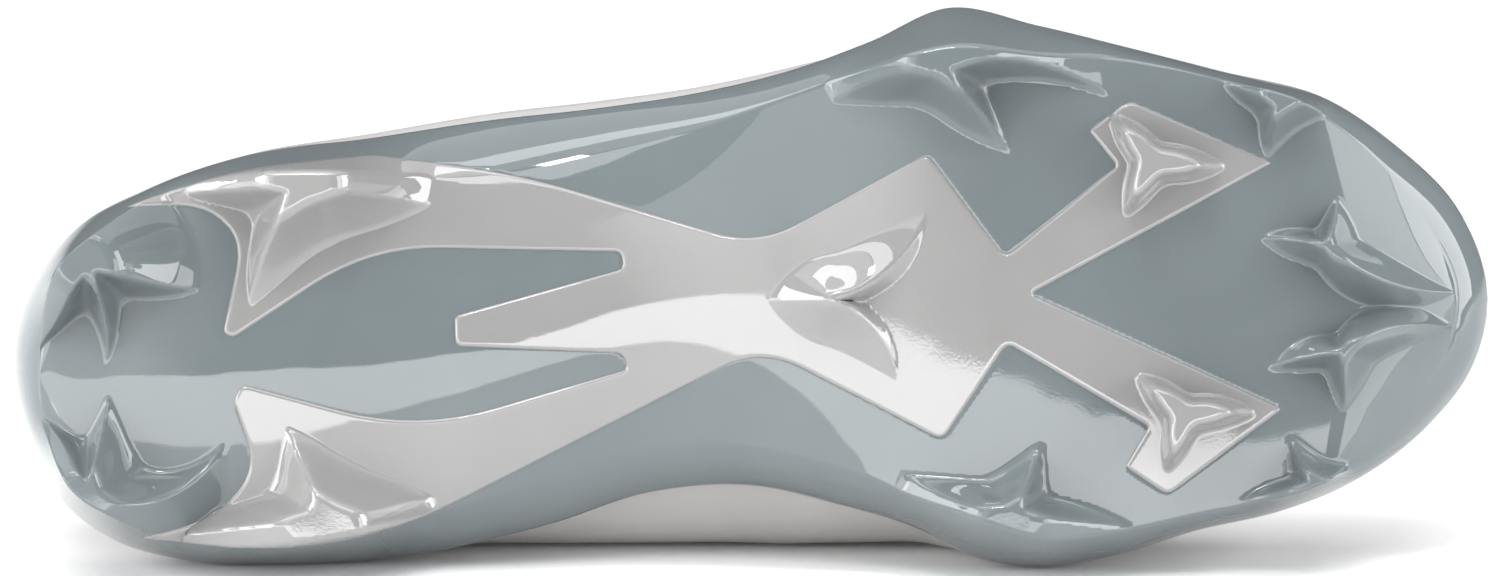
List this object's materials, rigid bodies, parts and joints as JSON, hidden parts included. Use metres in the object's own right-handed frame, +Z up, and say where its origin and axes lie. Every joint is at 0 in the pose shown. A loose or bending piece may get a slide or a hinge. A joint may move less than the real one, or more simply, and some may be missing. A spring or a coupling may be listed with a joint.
{
  "type": "football cleat",
  "caption": "Low right football cleat with a glossy moulded stud plate, hollow lasted upper, tongue, insole and laces, lying on its inner side.",
  "frame": {"origin": "bottom centre of the bounding box, on the floor that the shoe lies on", "axes": "+X from heel to toe, -Y out of the sole, +Z up, towards the outer side of the shoe"},
  "size_m": [0.289, 0.1162, 0.1083],
  "materials": {
    "outsole": "glossy blue-grey moulded plastic",
    "sole_insert": "glossy warm silver moulded plastic",
    "upper": "smooth white synthetic skin",
    "tongue": "white knit",
    "insole": "grey foam with a cloth top",
    "laces": "flat woven white lace"
  },
  "bodies": {
    "root": {"outsole": "outsole", "sole_insert": "sole_insert", "upper": "upper", "tongue": "tongue", "insole": "insole", "laces": "laces"}
  },
  "joints": []
}
